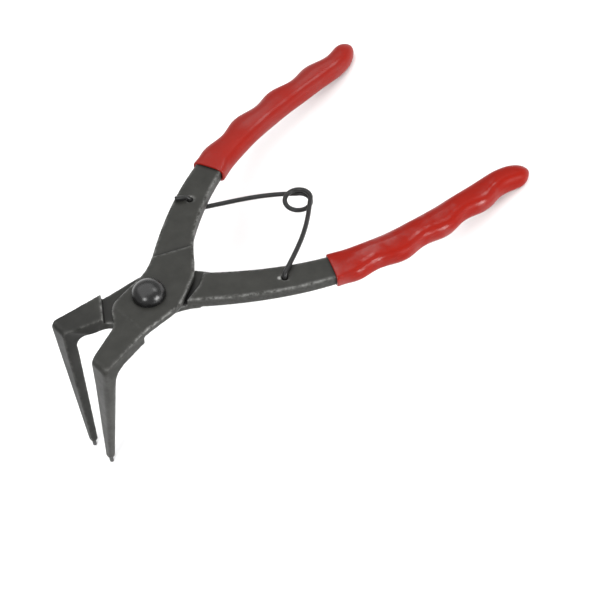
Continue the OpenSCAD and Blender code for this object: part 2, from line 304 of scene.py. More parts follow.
def add_node(tree: bpy.types.NodeTree, kind: str, inputs: Mapping[str, Value],
             **settings: Any) -> bpy.types.Node:
    """Add a node to a tree.

    Args:
        tree: Tree that gets the node.
        kind: Type of the node.
        inputs: Values or sockets by the name of the input.
        settings: Properties of the node.

    Returns:
        The node.
    """
    node = tree.nodes.new(kind)
    for name, value in settings.items():
        setattr(node, name, value)
    for name, value in inputs.items():
        plug(tree, node.inputs[name], value)
    return node


def grown(curve: bpy.types.Object, tree: Tree, values: Mapping[str, Value]) -> bpy.types.Object:
    """Run a geometry tree on a curve and keep the result as a plain mesh.

    Args:
        curve: Object that the tree starts from; it is removed.
        tree: Geometry tree.
        values: The tree's inputs by name.

    Returns:
        Mesh object at the origin, with the curve's name.
    """
    name = curve.name
    modifier = curve.modifiers.new("shape", "NODES")
    modifier.node_group = tree.tree
    for item in tree.tree.interface.items_tree:
        if item.in_out == "INPUT" and item.name in values:
            modifier[item.identifier] = values[item.name]
    bpy.context.view_layer.update()
    graph = bpy.context.evaluated_depsgraph_get()
    mesh = bpy.data.meshes.new_from_object(curve.evaluated_get(graph))
    curve.modifiers.remove(modifier)
    bpy.data.objects.remove(curve)
    return placed(name, mesh)


def placed(name: str, mesh: bpy.types.Mesh) -> bpy.types.Object:
    """Show a mesh at the origin.

    Args:
        name: Name of the object and of its mesh.
        mesh: Mesh to show.

    Returns:
        The object.
    """
    mesh.name = name
    thing = bpy.data.objects.new(name, mesh)
    bpy.context.scene.collection.objects.link(thing)
    return thing


def curve_through(name: str, points: Sequence[Vector], end_share: float = 1.0) -> bpy.types.Object:
    """Curve object along a row of points.

    Args:
        name: Name of the object.
        points: Places in metres.
        end_share: Share of the radius that is left at the last point.

    Returns:
        The curve object.
    """
    data = bpy.data.curves.new(name, "CURVE")
    data.dimensions = "3D"
    spline = data.splines.new("POLY")
    spline.points.add(len(points) - 1)
    for target, point in zip(spline.points, points):
        target.co = (*point, 1.0)
        target.radius = 1.0
    spline.points[-1].radius = end_share
    thing = bpy.data.objects.new(name, data)
    bpy.context.scene.collection.objects.link(thing)
    return thing


# Finishes


class Effects:
    """Shader groups that several finishes share, each built once."""

    def __init__(self) -> None:
        """Build the groups."""
        self.patches = self._patches()
        self.worn = self._worn()
        self.torn = self._torn()

    @staticmethod
    def _patches() -> bpy.types.NodeTree:
        """Cloudy patches and fine grain, in the piece's own place.

        Returns:
            Group that puts out Patch and Grain.
        """
        tree = Tree("cloudy_patches", "ShaderNodeTree")
        patch = tree.noise(tree.number("Patch Scale"), detail=5.0, roughness=0.6)
        grain = tree.noise(tree.number("Grain Scale"), detail=3.0, roughness=0.65)
        tree.gives("Patch", "NodeSocketFloat", patch.stretched(gain=2.2, cut=0.6).clamped())
        tree.gives("Grain", "NodeSocketFloat", grain)
        return tree.tree

    @staticmethod
    def _worn() -> bpy.types.NodeTree:
        """Edges that are rubbed bare, in broken lines.

        Returns:
            Group that puts out their Mask.
        """
        tree = Tree("worn_edges", "ShaderNodeTree")
        amount = tree.number("Amount")
        breaks = tree.noise(tree.number("Break Scale"), detail=4.0, roughness=0.7)
        rub = carried_mask(tree.tree, WEAR) * breaks.stretched(gain=5.0, cut=1.9)
        tree.gives("Mask", "NodeSocketFloat", (rub * amount).clamped())
        return tree.tree

    @staticmethod
    def _torn() -> bpy.types.NodeTree:
        """Torn, speckled skin on walls that were cut.

        Returns:
            Group that puts out its Mask.
        """
        tree = Tree("torn_walls", "ShaderNodeTree")
        speckle = tree.noise(tree.number("Speckle Scale"), detail=5.0, roughness=0.75)
        speckle = speckle.stretched(gain=3.2, cut=1.15).clamped()
        tree.gives("Mask", "NodeSocketFloat", carried_mask(tree.tree, WALL) * speckle)
        return tree.tree


Colour = tuple[float, float, float]


def solid(colour: Colour) -> tuple[float, float, float, float]:
    """Opaque colour for a socket."""
    return (*colour, 1.0)


class Paint:
    """A material that is being built around one Principled BSDF."""

    def __init__(self, name: str) -> None:
        """Start a material with an empty surface.

        Args:
            name: Name of the material.
        """
        self.material = bpy.data.materials.new(name)
        self.material.use_nodes = True
        self.tree = self.material.node_tree
        self.shader = self.tree.nodes["Principled BSDF"]

    def set(self, **values: Value) -> None:
        """Set or feed inputs of the shader, with underscores for spaces."""
        for name, value in values.items():
            plug(self.tree, self.shader.inputs[name.replace("_", " ")], value)

    def group(self, group: bpy.types.NodeTree, inputs: Mapping[str, Value]) -> dict[str, Term]:
        """Place a shared group.

        Args:
            group: The group.
            inputs: Its inputs by name.

        Returns:
            Its outputs by name.
        """
        node = self.tree.nodes.new("ShaderNodeGroup")
        node.node_tree = group
        for name, value in inputs.items():
            plug(self.tree, node.inputs[name], value)
        return {socket.name: Term(self.tree, socket) for socket in node.outputs}

    def cloud(self, effects: Effects, patch_scale: float, grain_scale: float) -> tuple[Term, Term]:
        """Place the shared patches and grain, and return the two."""
        outputs = self.group(effects.patches, {"Patch Scale": patch_scale, "Grain Scale": grain_scale})
        return outputs["Patch"], outputs["Grain"]

    def mixed(self, share: Value, first: Value, second: Value) -> bpy.types.NodeSocket:
        """Mix two colours.

        Args:
            share: How much of the second colour there is.
            first: Colour at share 0.
            second: Colour at share 1.

        Returns:
            Socket with the colour.
        """
        node = add_node(self.tree, "ShaderNodeMix", {"Factor": share}, data_type="RGBA")
        plug(self.tree, node.inputs[MIX_FIRST], first)
        plug(self.tree, node.inputs[MIX_SECOND], second)
        return node.outputs[MIX_RESULT]

    def bumped(self, height: Value, strength: float, depth: float) -> None:
        """Roughen the surface by a height, with the depth in millimetres."""
        bump = add_node(self.tree, "ShaderNodeBump", {"Strength": strength, "Distance": depth * MM,
                                                      "Height": height})
        self.set(Normal=bump.outputs["Normal"])


@dataclass(frozen=True)
class DarkSteel:
    """Blackened steel with cloudy patches and rubbed edges.

    Scales are those of noise on a place in metres, and the finenesses multiply the patch scale.
    uneven_mean is what patches and grain add to the roughness on average, and the reliefs share out
    bump_depth, which is in millimetres.
    """

    name: str
    colour: Colour
    pale: Colour
    # Colour of bare steel, for worn edges and for the painted glint
    bare_and_glint: Colour
    roughness: float
    patch_scale: float
    grain_scale: float
    wear: float
    metallic: float = 0.35
    gloss: float = 0.5
    torn: Colour = (0.045, 0.045, 0.0427)
    # Colour of the painted shade
    painted_shade: Colour = (0.005, 0.005, 0.005)
    bump: float = 0.25
    bump_depth: float = 0.06
    break_fineness: float = 2.5
    speckle_fineness: float = 4.0
    patch_share: float = 0.75
    torn_share: float = 0.8
    bare_metallic: float = 0.95
    patch_polish: float = -0.12
    grain_roughness: float = 0.16
    uneven_mean: float = 0.02
    bare_polish: float = 0.1
    grain_relief: float = 0.7
    torn_relief: float = 1.5

    def material(self, effects: Effects) -> bpy.types.Material:
        """Build the material.

        Args:
            effects: Shared shader groups.

        Returns:
            The material.
        """
        paint = Paint(self.name)
        patch, grain = paint.cloud(effects, self.patch_scale, self.grain_scale)
        worn = paint.group(effects.worn, {
            "Amount": self.wear, "Break Scale": self.patch_scale * self.break_fineness})["Mask"]
        torn = paint.group(effects.torn, {
            "Speckle Scale": self.patch_scale * self.speckle_fineness})["Mask"]
        shade = patch * self.patch_share + grain * (1.0 - self.patch_share)
        skin = paint.mixed(shade, solid(self.colour), solid(self.pale))
        skin = paint.mixed(torn * self.torn_share, skin, solid(self.torn))
        # Painted shade: darker in hollows, on the lap faces and on the rear leg
        skin = paint.mixed(carried_mask(paint.tree, PAINTED_SHADE_MASK), skin, solid(self.painted_shade))
        # Worn edges plus the painted glint, both in the bare colour
        wear_and_glint = (worn + carried_mask(paint.tree, GLINT_MASK)).clamped()
        rough = patch * self.patch_polish + grain * self.grain_roughness
        rough = rough + (self.roughness - self.uneven_mean)
        relief = grain * self.grain_relief + patch * (1.0 - self.grain_relief) + torn * self.torn_relief
        paint.set(Base_Color=paint.mixed(wear_and_glint, skin, solid(self.bare_and_glint)),
                  Metallic=worn * (self.bare_metallic - self.metallic) + self.metallic,
                  Roughness=rough - worn * self.bare_polish, Specular_IOR_Level=self.gloss)
        paint.bumped(relief, self.bump, self.bump_depth)
        return paint.material


@dataclass(frozen=True)
class RedVinyl:
    """Soft glossy vinyl, with painted shade where the sleeve's lip turns in.

    wet and film are the weight and the roughness of its coat, and wet_from is the patch at which the
    coat starts. depth is how much of the light sinks in.
    """

    name: str
    colour: Colour = (0.222, 0.0068, 0.0024)
    deep: Colour = (0.18, 0.0049, 0.0017)
    # Colour of the painted shade on the turned-in lip
    lip: Colour = (0.04, 0.002, 0.002)
    roughness: float = 0.42
    wet: float = 0.35
    film: float = 0.12
    gloss: float = 0.15
    patch_scale: float = 45.0
    grain_scale: float = 900.0
    uneven: float = 0.1
    uneven_mean: float = 0.08
    wet_from: float = 0.3
    wet_gain: float = 2.0
    depth: float = 0.04
    depth_radius: Colour = (0.002, 0.0006, 0.0005)
    patch_relief: float = 0.85
    bump: float = 0.5
    bump_depth: float = 0.2

    def material(self, effects: Effects) -> bpy.types.Material:
        """Build the material.

        Args:
            effects: Shared shader groups.

        Returns:
            The material.
        """
        paint = Paint(self.name)
        patch, grain = paint.cloud(effects, self.patch_scale, self.grain_scale)
        body = paint.mixed(patch, solid(self.colour), solid(self.deep))
        rough = patch * self.uneven + grain * self.uneven + (self.roughness - self.uneven_mean)
        sheen = ((patch - self.wet_from) * self.wet_gain).eased() * self.wet
        # Painted shade where the lip turns into the mouth
        paint.set(Base_Color=paint.mixed(carried_mask(paint.tree, LIP_SHADE_MASK), body, solid(self.lip)),
                  Roughness=rough, Coat_Weight=sheen, Coat_Roughness=self.film,
                  Subsurface_Weight=self.depth, Subsurface_Radius=self.depth_radius,
                  Specular_IOR_Level=self.gloss)
        relief = patch * self.patch_relief + grain * (1.0 - self.patch_relief)
        paint.bumped(relief, self.bump, self.bump_depth)
        return paint.material


@dataclass(frozen=True)
class PaleFloor:
    """Plain pale studio floor."""

    name: str = "pale_floor"
    colour: Colour = (0.88, 0.88, 0.88)
    roughness: float = 0.7
    uneven: float = 0.1
    patch_scale: float = 3.0
    grain_scale: float = 400.0

    def material(self, effects: Effects) -> bpy.types.Material:
        """Build the material.

        Args:
            effects: Shared shader groups.

        Returns:
            The material.
        """
        paint = Paint(self.name)
        _, grain = paint.cloud(effects, self.patch_scale, self.grain_scale)
        paint.set(Base_Color=solid(self.colour), Roughness=grain * self.uneven + self.roughness)
        return paint.material


LEVER_STEEL = DarkSteel(
    "lever_steel", colour=(0.0178, 0.0178, 0.0158), pale=(0.029, 0.029, 0.0258),
    bare_and_glint=(0.23, 0.23, 0.222), roughness=0.42, patch_scale=160.0, grain_scale=1400.0,
    wear=1.0, metallic=0.0, gloss=0.16)
RIVET_STEEL = DarkSteel(
    "rivet_steel", colour=(0.004, 0.004, 0.004), pale=(0.007, 0.007, 0.007),
    bare_and_glint=(0.1, 0.1, 0.1), roughness=0.27, patch_scale=260.0, grain_scale=1800.0,
    wear=0.3, metallic=0.0, gloss=0.46, bump=0.06)
SPRING_STEEL = DarkSteel(
    "spring_steel", colour=(0.01, 0.01, 0.01), pale=(0.018, 0.018, 0.018),
    bare_and_glint=(0.2, 0.2, 0.2), roughness=0.36, patch_scale=420.0, grain_scale=2600.0,
    wear=0.4, metallic=0.2, gloss=0.3, bump=0.12)
TIP_STEEL = DarkSteel(
    "tip_steel", colour=(0.02, 0.02, 0.02), pale=(0.04, 0.04, 0.04),
    bare_and_glint=(0.2, 0.2, 0.2), roughness=0.36, patch_scale=700.0, grain_scale=4000.0,
    wear=0.8, metallic=0.4, bump=0.12)
FRONT_VINYL = RedVinyl("red_vinyl")
REAR_VINYL = RedVinyl("red_vinyl_wet", wet=0.85, film=0.07, gloss=0.08)


# Pieces


def mesh_arrays(mesh: bpy.types.Mesh) -> tuple[np.ndarray, np.ndarray]:
    """Vertices and edges of a mesh.

    Args:
        mesh: Mesh to read.

    Returns:
        Places, one row for each vertex, and pairs of vertex numbers, one row for each edge.
    """
    places = np.empty(3 * len(mesh.vertices), np.float64)
    mesh.vertices.foreach_get("co", places)
    edges = np.empty(2 * len(mesh.edges), np.int64)
    mesh.edges.foreach_get("vertices", edges)
    return places.reshape(-1, 3), edges.reshape(-1, 2)


def neighbour_mean(values: np.ndarray, edges: np.ndarray) -> np.ndarray:
    """Mean of the values at each vertex's neighbours.

    Args:
        values: One row for each vertex.
        edges: Pairs of vertex numbers.

    Returns:
        Means, one row for each vertex.
    """
    ends = np.concatenate((edges[:, 0], edges[:, 1]))
    others = np.concatenate((edges[:, 1], edges[:, 0]))
    count = np.bincount(ends, minlength=len(values))
    columns = [np.bincount(ends, values[others, k], len(values)) / count for k in range(values.shape[1])]
    return np.stack(columns, axis=1)


def write_attribute(mesh: bpy.types.Mesh, name: str, values: np.ndarray) -> None:
    """Store one number for each vertex of a mesh."""
    layer = mesh.attributes.new(name, "FLOAT", "POINT")
    layer.data.foreach_set("value", values.astype(np.float32))


def dress(piece: bpy.types.Object, material: bpy.types.Material) -> None:
    """Give a piece one material and smooth shading.

    Args:
        piece: The piece.
        material: Its finish.
    """
    piece.data.materials.clear()
    piece.data.materials.append(material)
    piece.data.shade_smooth()


@dataclass
class HandleLine:
    """Centre line of a handle: one cubic curve from the joint, past the spring's hole, to the end."""

    root: tuple[float, float] = (11.0, 3.5)
    root_angle: float = 43.0
    root_pull: float = 76.5
    end: tuple[float, float] = (159.49, 52.5)
    end_angle: float = 4.5
    end_pull: float = 57.0
    hole_at: float = 43.5
    samples: int = 400

    def poles(self) -> np.ndarray:
        """Work out the curve's control points.

        Returns:
            The four points, in millimetres.
        """
        first, last = np.array(self.root), np.array(self.end)
        leave, arrive = math.radians(self.root_angle), math.radians(self.end_angle)
        return np.array((first,
                         first + self.root_pull * np.array((math.cos(leave), math.sin(leave))),
                         last - self.end_pull * np.array((math.cos(arrive), math.sin(arrive))),
                         last))

    def points(self) -> np.ndarray:
        """Work out points along the curve.

        Returns:
            The points, in millimetres.
        """
        share = np.linspace(0.0, 1.0, self.samples + 1)[:, None]
        a, b, c, d = self.poles()
        rest = 1.0 - share
        return rest**3 * a + 3 * share * rest**2 * b + 3 * share**2 * rest * c + share**3 * d

    def length(self) -> float:
        """Length of the curve, in millimetres."""
        return float(np.linalg.norm(np.diff(self.points(), axis=0), axis=1).sum())

    def at(self, distance: float) -> np.ndarray:
        """Find a point on the curve.

        Args:
            distance: Distance along the curve.

        Returns:
            The point, in millimetres.
        """
        points = self.points()
        run = np.concatenate(((0.0,), np.cumsum(np.linalg.norm(np.diff(points, axis=0), axis=1))))
        return np.array([np.interp(distance, run, points[:, k]) for k in range(2)])


@dataclass
class Lever:
    """One forged lever, from its jaw to its tang, with softened and rubbed edges.

    Wears and shades run from 0 to 1, and full_wear is a share of the grain. level_above and
    wall_below are set against the share of the skin's normal that lies along the pivot's axis.
    """

    side: Side
    tool: ToolFrame
    line: HandleLine = field(default_factory=HandleLine)
    weld: float = 0.002
    grain: float = 0.32
    softening: int = 8
    full_wear: float = 0.15
    ring_wear: float = 0.8
    jaw_wear: float = 0.3
    # Painted shade in hollows, on the lap faces beside the other lever and on the rear leg
    hollow_rounds: int = 36
    full_hollow: float = 0.5
    lap_depth: float = 0.6
    lap_reach: float = 24.0
    painted_shade_reach: float = 22.0
    painted_shade_fade: float = 5.0
    jaw_shade: float = 0.35
    rear_leg_shade: float = 0.45
    level_above: float = 0.7
    wall_below: float = 0.8
    wall_fade: float = 0.4
    forged_past: float = -25.0
    forged_fade: float = 8.0
    hole_radius: float = 1.4
    rubbed_ring: float = 0.9
    # Place and size of the painted glint beside the rear hole
    glint_gap: float = 2.1
    glint_radius: float = 1.1
    glint_edge: float = 1.5

    def build(self, node: bpy.types.Object, material: bpy.types.Material) -> bpy.types.Object:
        """Make the lever's skin from its solid.

        Args:
            node: The lever's solid in the frame.
            material: Its finish.

        Returns:
            The piece.
        """
        mesh = self._even_skin(node)
        places, edges = mesh_arrays(mesh)
        for _ in range(self.softening):
            places = 0.5 * (places + neighbour_mean(places, edges))
        mesh.vertices.foreach_set("co", places.ravel())
        mesh.update()
        self._mark(mesh, places, edges)
        mesh.transform(self.tool.matrix)
        piece = placed(self.side.node("lever_forging"), mesh)
        dress(piece, material)
        return piece

    def _even_skin(self, node: bpy.types.Object) -> bpy.types.Mesh:
        """Merge a copy of the solid's mesh and cover it with even faces.

        Args:
            node: The lever's solid in the frame.

        Returns:
            The skin, in the tool's axes.
        """
        work = bmesh.new()
        work.from_mesh(node.data)
        bmesh.ops.remove_doubles(work, verts=work.verts, dist=self.weld * MM)
        work.transform(self.tool.matrix.inverted())
        copy = bpy.data.meshes.new("lever_copy")
        work.to_mesh(copy)
        work.free()
        carrier = placed("lever_copy", copy)
        remesh = carrier.modifiers.new("even", "REMESH")
        remesh.mode = "VOXEL"
        remesh.voxel_size = self.grain * MM
        graph = bpy.context.evaluated_depsgraph_get()
        mesh = bpy.data.meshes.new_from_object(carrier.evaluated_get(graph))
        bpy.data.objects.remove(carrier)
        bpy.data.meshes.remove(copy)
        return mesh

    def _mark(self, mesh: bpy.types.Mesh, places: np.ndarray, edges: np.ndarray) -> None:
        """Store where the skin is rubbed and torn, and where the painted shade and the painted glint lie,
        each from 0 to 1.

        Args:
            mesh: The skin.
            places: Its vertices, in metres.
            edges: Its pairs of vertex numbers.
        """
        normals = np.empty(3 * len(mesh.vertices))
        mesh.vertices.foreach_get("normal", normals)
        normals = normals.reshape(-1, 3)
        level = np.abs(normals[:, 2])
        along = places[:, 0] / MM
        handled = np.clip((along - self.forged_past) / self.forged_fade, 0.0, 1.0)
        wide = near = neighbour_mean(places, edges)
        for _ in range(self.hollow_rounds - 1):
            wide = neighbour_mean(wide, edges)
        lift = np.einsum("ij,ij->i", places - near, normals)
        sink = np.einsum("ij,ij->i", wide - places, normals)
        wear = self._rubbed(lift, places) * (self.jaw_wear + (1.0 - self.jaw_wear) * handled)
        spread = neighbour_mean(wear[:, None], edges)[:, 0]
        write_attribute(mesh, WEAR, 0.5 * (wear + spread))
        write_attribute(mesh, PAINTED_SHADE_MASK, self._painted_shade_mask(sink, places, level, handled))
        write_attribute(mesh, GLINT_MASK, self._glint_mask(places))
        wall = np.clip((self.wall_below - level) / self.wall_fade, 0.0, 1.0)
        write_attribute(mesh, WALL, wall * handled)

    def _from_hole(self, places: np.ndarray, gap: float = 0.0) -> np.ndarray:
        """Distance of each vertex from a point that lies a gap before the spring's hole, in plan."""
        middle = self.line.at(self.line.hole_at - gap) * (1.0, self.side.value)
        return np.hypot(*(places[:, :2] / MM - middle).T)

    def _rubbed(self, lift: np.ndarray, places: np.ndarray) -> np.ndarray:
        """Rubbing on sharp edges and round the spring's hole.

        Args:
            lift: How far each vertex stands out from its neighbours.
            places: The vertices, in metres.

        Returns:
            The mask.
        """
        edge = np.clip(lift / (self.full_wear * self.grain * MM), 0.0, 1.0)
        ring = 1.0 - np.abs(self._from_hole(places) - self.hole_radius) / self.rubbed_ring
        return np.maximum(edge, self.ring_wear * np.clip(ring, 0.0, 1.0))

    def _painted_shade_mask(self, sink: np.ndarray, places: np.ndarray, level: np.ndarray,
              handled: np.ndarray) -> np.ndarray:
        """Painted shade in hollows, on the lap face beside the other lever and on the rear leg.

        Args:
            sink: How deep each vertex lies under the skin around it.
            places: The vertices, in metres.
            level: How level the skin is.
            handled: 1 on the handle and the joint, 0 on the leg.

        Returns:
            The mask.
        """
        along, across, height = places.T / MM
        hollow = np.clip(sink / (self.full_hollow * MM), 0.0, 1.0)
        # Painted shade over the whole rear leg, standing in for the front jaw's shadow
        if self.side is Side.REAR:
            hollow = np.maximum(hollow, self.rear_leg_shade * (1.0 - handled))
        reach = np.hypot(along, across)
        # Painted shade on the lap face beside the other lever, strongest near the pivot
        lap = (reach < self.lap_reach) & (level > self.level_above) & (np.abs(height) < self.lap_depth)
        painted_shade = np.clip((self.painted_shade_reach - reach) / self.painted_shade_fade, self.jaw_shade, 1.0)
        return np.where(lap, np.where(along > 0.0, painted_shade, self.jaw_shade), hollow)

    def _glint_mask(self, places: np.ndarray) -> np.ndarray:
        """Painted glint beside the rear hole, in the colour of bare steel.

        Args:
            places: The vertices, in metres.

        Returns:
            The mask.
        """
        far = self._from_hole(places, self.glint_gap) / self.glint_radius
        glint = np.clip(self.glint_edge * (1.0 - far), 0.0, 1.0) * (places[:, 2] > 0.0)
        return glint * (self.side is Side.REAR)


@dataclass
class Grip:
    """A vinyl sleeve that follows its handle, with finger bumps on the outer edge."""

    side: Side
    tool: ToolFrame
    line: HandleLine = field(default_factory=HandleLine)
    sizes: dict[str, float] = field(default_factory=lambda: {
        "Length": 98.4, "Mouth Half": 7.4, "Mouth Thickness": 4.0, "Mouth Ramp": 8.0,
        "Outer Half": 6.88, "Inner Half": 7.28, "Taper": 1.9, "Half Thickness": 5.15,
        "Wave Start": 8.0, "Wave Pitch": 21.5, "Wave Height": 0.9,
        "Outer Round": 7.0, "Inner Round": 16.0, "Thickness Round": 9.0, "End Offset": 2.5,
        "Lip Radius": 0.62, "Lip Depth": 4.0})
    mouth_power: float = 0.6
    full_power: float = 0.85
    lip_from: float = 0.03
    lip_to: float = 0.12
    lip_shade: float = 1.1
    weld: float = 0.02
    rings: int = 260
    sides: int = 72

    def build(self, tree: Tree, material: bpy.types.Material) -> bpy.types.Object:
        """Sweep the sleeve.

        Args:
            tree: The sleeve's geometry tree.
            material: Its finish.

        Returns:
            The piece.
        """
        sign = self.side.value
        points = [self.tool.point(u, sign * v, 0.0) for u, v in self.line.points()]
        curve = curve_through(self.side.node("vinyl_grip"), points)
        values: dict[str, Value] = {name: size * MM for name, size in self.sizes.items()}
        values["Mouth"] = (self.line.length() - self.sizes["Length"]) * MM
        values["Outward"] = float(sign)
        values["Axis"] = tuple(self.tool.axis)
        values["Finish"] = material
        return grown(curve, tree, values)

    def tree(self) -> Tree:
        """Geometry tree of a sleeve along a handle's centre line.

        Returns:
            The tree; it serves both grips.
        """
        tree = Tree("sleeve_along_handle", "GeometryNodeTree")
        line = tree.takes("Line", "NodeSocketGeometry")
        axis = tree.takes("Axis", "NodeSocketVector")
        outward = tree.number("Outward")
        mouth = tree.number("Mouth")
        size = {name: tree.number(name) for name in self.sizes}
        finish = tree.takes("Finish", "NodeSocketMaterial")
        tube = tree.add("GeometryNodeMeshCylinder", {
            "Vertices": self.sides, "Side Segments": self.rings, "Radius": 1.0, "Depth": 1.0},
            fill_type="NGON")
        spot = tree.add("GeometryNodeInputPosition", {}).outputs[0]
        unit = tree.add("ShaderNodeSeparateXYZ", {"Vector": spot})
        across, over, run = (Term(tree.tree, socket) for socket in unit.outputs)
        along, inset, lip = self._route(run + 0.5, mouth, size)
        outer, inner, thick, power = self._section(along, mouth, size)
        outer, inner, thick = outer - inset, inner - inset, thick - inset
        aside = (outer - inner) * 0.5 + (outer + inner) * 0.5 * across.rooted(power)
        above = thick * over.rooted(power)
        place = self._beside(tree, line, axis, along, aside * outward, above)
        moved = tree.add("GeometryNodeSetPosition", {"Geometry": tube.outputs["Mesh"], "Position": place})
        marked = tree.add("GeometryNodeStoreNamedAttribute", {
            "Geometry": moved.outputs[0], "Name": LIP_SHADE_MASK, "Value": lip}, data_type="FLOAT", domain="POINT")
        turned = tree.add("GeometryNodeFlipFaces", {
            "Mesh": marked.outputs[0], "Selection": outward.math("LESS_THAN", 0.0)})
        closed = tree.add("GeometryNodeMergeByDistance", {
            "Geometry": turned.outputs[0], "Distance": self.weld * MM})
        tree.ends_in("Sleeve", closed.outputs[0], finish)
        return tree

    def _route(self, run: Term, mouth: Term, size: Mapping[str, Term]) -> tuple[Term, Term, Term]:
        """Path of the sleeve's wall: up the inside, round the lip and along the outside.

        Args:
            run: Share of the path, from 0 to 1.
            mouth: Place of the mouth along the handle.
            size: The sleeve's sizes.

        Returns:
            Distance along the handle, depth under the outer skin and the mask of the painted shade on the
            lip.
        """
        radius = size["Lip Radius"]
        turn = ((run - self.lip_from) / (self.lip_to - self.lip_from)).clamped() * math.pi
        inside = (-(run / self.lip_from) + 1.0).clamped()
        outside = ((run - self.lip_to) / (1.0 - self.lip_to)).clamped() * (math.pi / 2.0)
        along = mouth + radius - radius * turn.math("SINE") + size["Lip Depth"] * inside
        along = along + (size["Length"] - radius) * outside.math("SINE")
        inset = radius * (turn.math("COSINE") + 1.0)
        # Painted shade, deepest where the wall has turned in
        lip = (inset / (radius * self.lip_shade)).eased()
        return along, inset, lip

    def _section(self, along: Term, mouth: Term, size: Mapping[str, Term]) -> tuple[Term, Term, Term, Term]:
        """Half widths, half thickness and squareness of the sleeve at a place.

        Args:
            along: Distance along the handle.
            mouth: Place of the mouth along the handle.
            size: The sleeve's sizes.

        Returns:
            Outer half, inner half, half thickness and the power of the section.
        """
        depth = along - mouth
        ramp = (depth / size["Mouth Ramp"]).eased()
        taper = size["Taper"] * (depth / size["Length"])
        wave = ((depth - size["Wave Start"]) / size["Wave Pitch"] * math.tau).math("COSINE")
        outer = size["Mouth Half"].towards(size["Outer Half"] - taper + size["Wave Height"] * wave, ramp)
        inner = size["Mouth Half"].towards(size["Inner Half"] - taper, ramp)
        thick = size["Mouth Thickness"].towards(size["Half Thickness"], ramp)

        def rounding(reach: Term) -> Term:
            """Share of the full size that is left in the rounded end."""
            past = ((depth - size["Length"] + reach) / reach).clamped()
            return (past * past * -1.0 + 1.0).math("MAXIMUM", 0.0) ** 0.5

        outer = size["End Offset"].towards(outer, rounding(size["Outer Round"]))
        inner = (-size["End Offset"]).towards(inner, rounding(size["Inner Round"]))
        thick = thick * rounding(size["Thickness Round"])
        power = ramp * (self.full_power - self.mouth_power) + self.mouth_power
        return outer, inner, thick, power

    @staticmethod
    def _beside(tree: Tree, line: bpy.types.NodeSocket, axis: bpy.types.NodeSocket, along: Term,
                aside: Term, above: Term) -> bpy.types.NodeSocket:
        """Point beside and above the handle's centre line.

        Args:
            tree: Tree to build in.
            line: The centre line.
            axis: Direction of the pivot's axis.
            along: Distance along the line.
            aside: Distance to the left of the line.
            above: Distance along the axis.

        Returns:
            Socket with the point.
        """
        sample = tree.add("GeometryNodeSampleCurve", {"Curves": line, "Length": along},
                          mode="LENGTH", use_all_curves=True)
        left = tree.add("ShaderNodeVectorMath", {}, operation="CROSS_PRODUCT")
        plug(tree.tree, left.inputs[0], axis)
        plug(tree.tree, left.inputs[1], sample.outputs["Tangent"])
        place = sample.outputs["Position"]
        for direction, amount in ((left.outputs[0], aside), (axis, above)):
            step = tree.add("ShaderNodeVectorMath", {"Vector": direction, "Scale": amount},
                            operation="SCALE")
            total = tree.add("ShaderNodeVectorMath", {}, operation="ADD")
            plug(tree.tree, total.inputs[0], place)
            plug(tree.tree, total.inputs[1], step.outputs[0])
            place = total.outputs[0]
        return place


def turned_piece(name: str, profile: Sequence[tuple[float, float]],
                 place: Callable[[float, float, float], Vector], steps: int,
                 material: bpy.types.Material) -> bpy.types.Object:
    """Turn a profile about an axis.

    Args:
        name: Name of the piece.
        profile: Radius and height of each point, in millimetres, from the bottom to the top; both
            ends lie on the axis.
        place: Gives the point of the frame for two distances across the axis and a height.
        steps: Number of faces round the axis.
        material: Finish of the piece.

    Returns:
        The closed piece.
    """
    work = bmesh.new()
    bottom = work.verts.new(place(0.0, 0.0, profile[0][1]))
    top = work.verts.new(place(0.0, 0.0, profile[-1][1]))
    rings = []
    angles = [math.tau * k / steps for k in range(steps)]
    for radius, height in profile[1:-1]:
        circle = [(radius * math.cos(a), radius * math.sin(a)) for a in angles]
        rings.append([work.verts.new(place(u, v, height)) for u, v in circle])
    for k in range(steps):
        after = (k + 1) % steps
        work.faces.new((bottom, rings[0][after], rings[0][k]))
        for low, high in zip(rings, rings[1:]):
            work.faces.new((low[k], low[after], high[after], high[k]))
        work.faces.new((top, rings[-1][k], rings[-1][after]))
    bmesh.ops.recalc_face_normals(work, faces=work.faces)
    mesh = bpy.data.meshes.new(name)
    work.to_mesh(mesh)
    work.free()
    piece = placed(name, mesh)
    dress(piece, material)
    mesh.set_sharp_from_angle(angle=math.radians(SHARP_ANGLE))
    return piece


def arc(centre: tuple[float, float], size: tuple[float, float], start: float, stop: float,
        steps: int) -> list[tuple[float, float]]:
    """Points of an elliptic arc.

    Args:
        centre: Middle of the ellipse.
        size: Its two half axes.
        start: First angle, in degrees.
        stop: Last angle, in degrees.
        steps: Number of stretches.

    Returns:
        The points, the first and the last included.
    """
    angles = [math.radians(start + (stop - start) * k / steps) for k in range(steps + 1)]
    return [(centre[0] + size[0] * math.cos(a), centre[1] + size[1] * math.sin(a)) for a in angles]


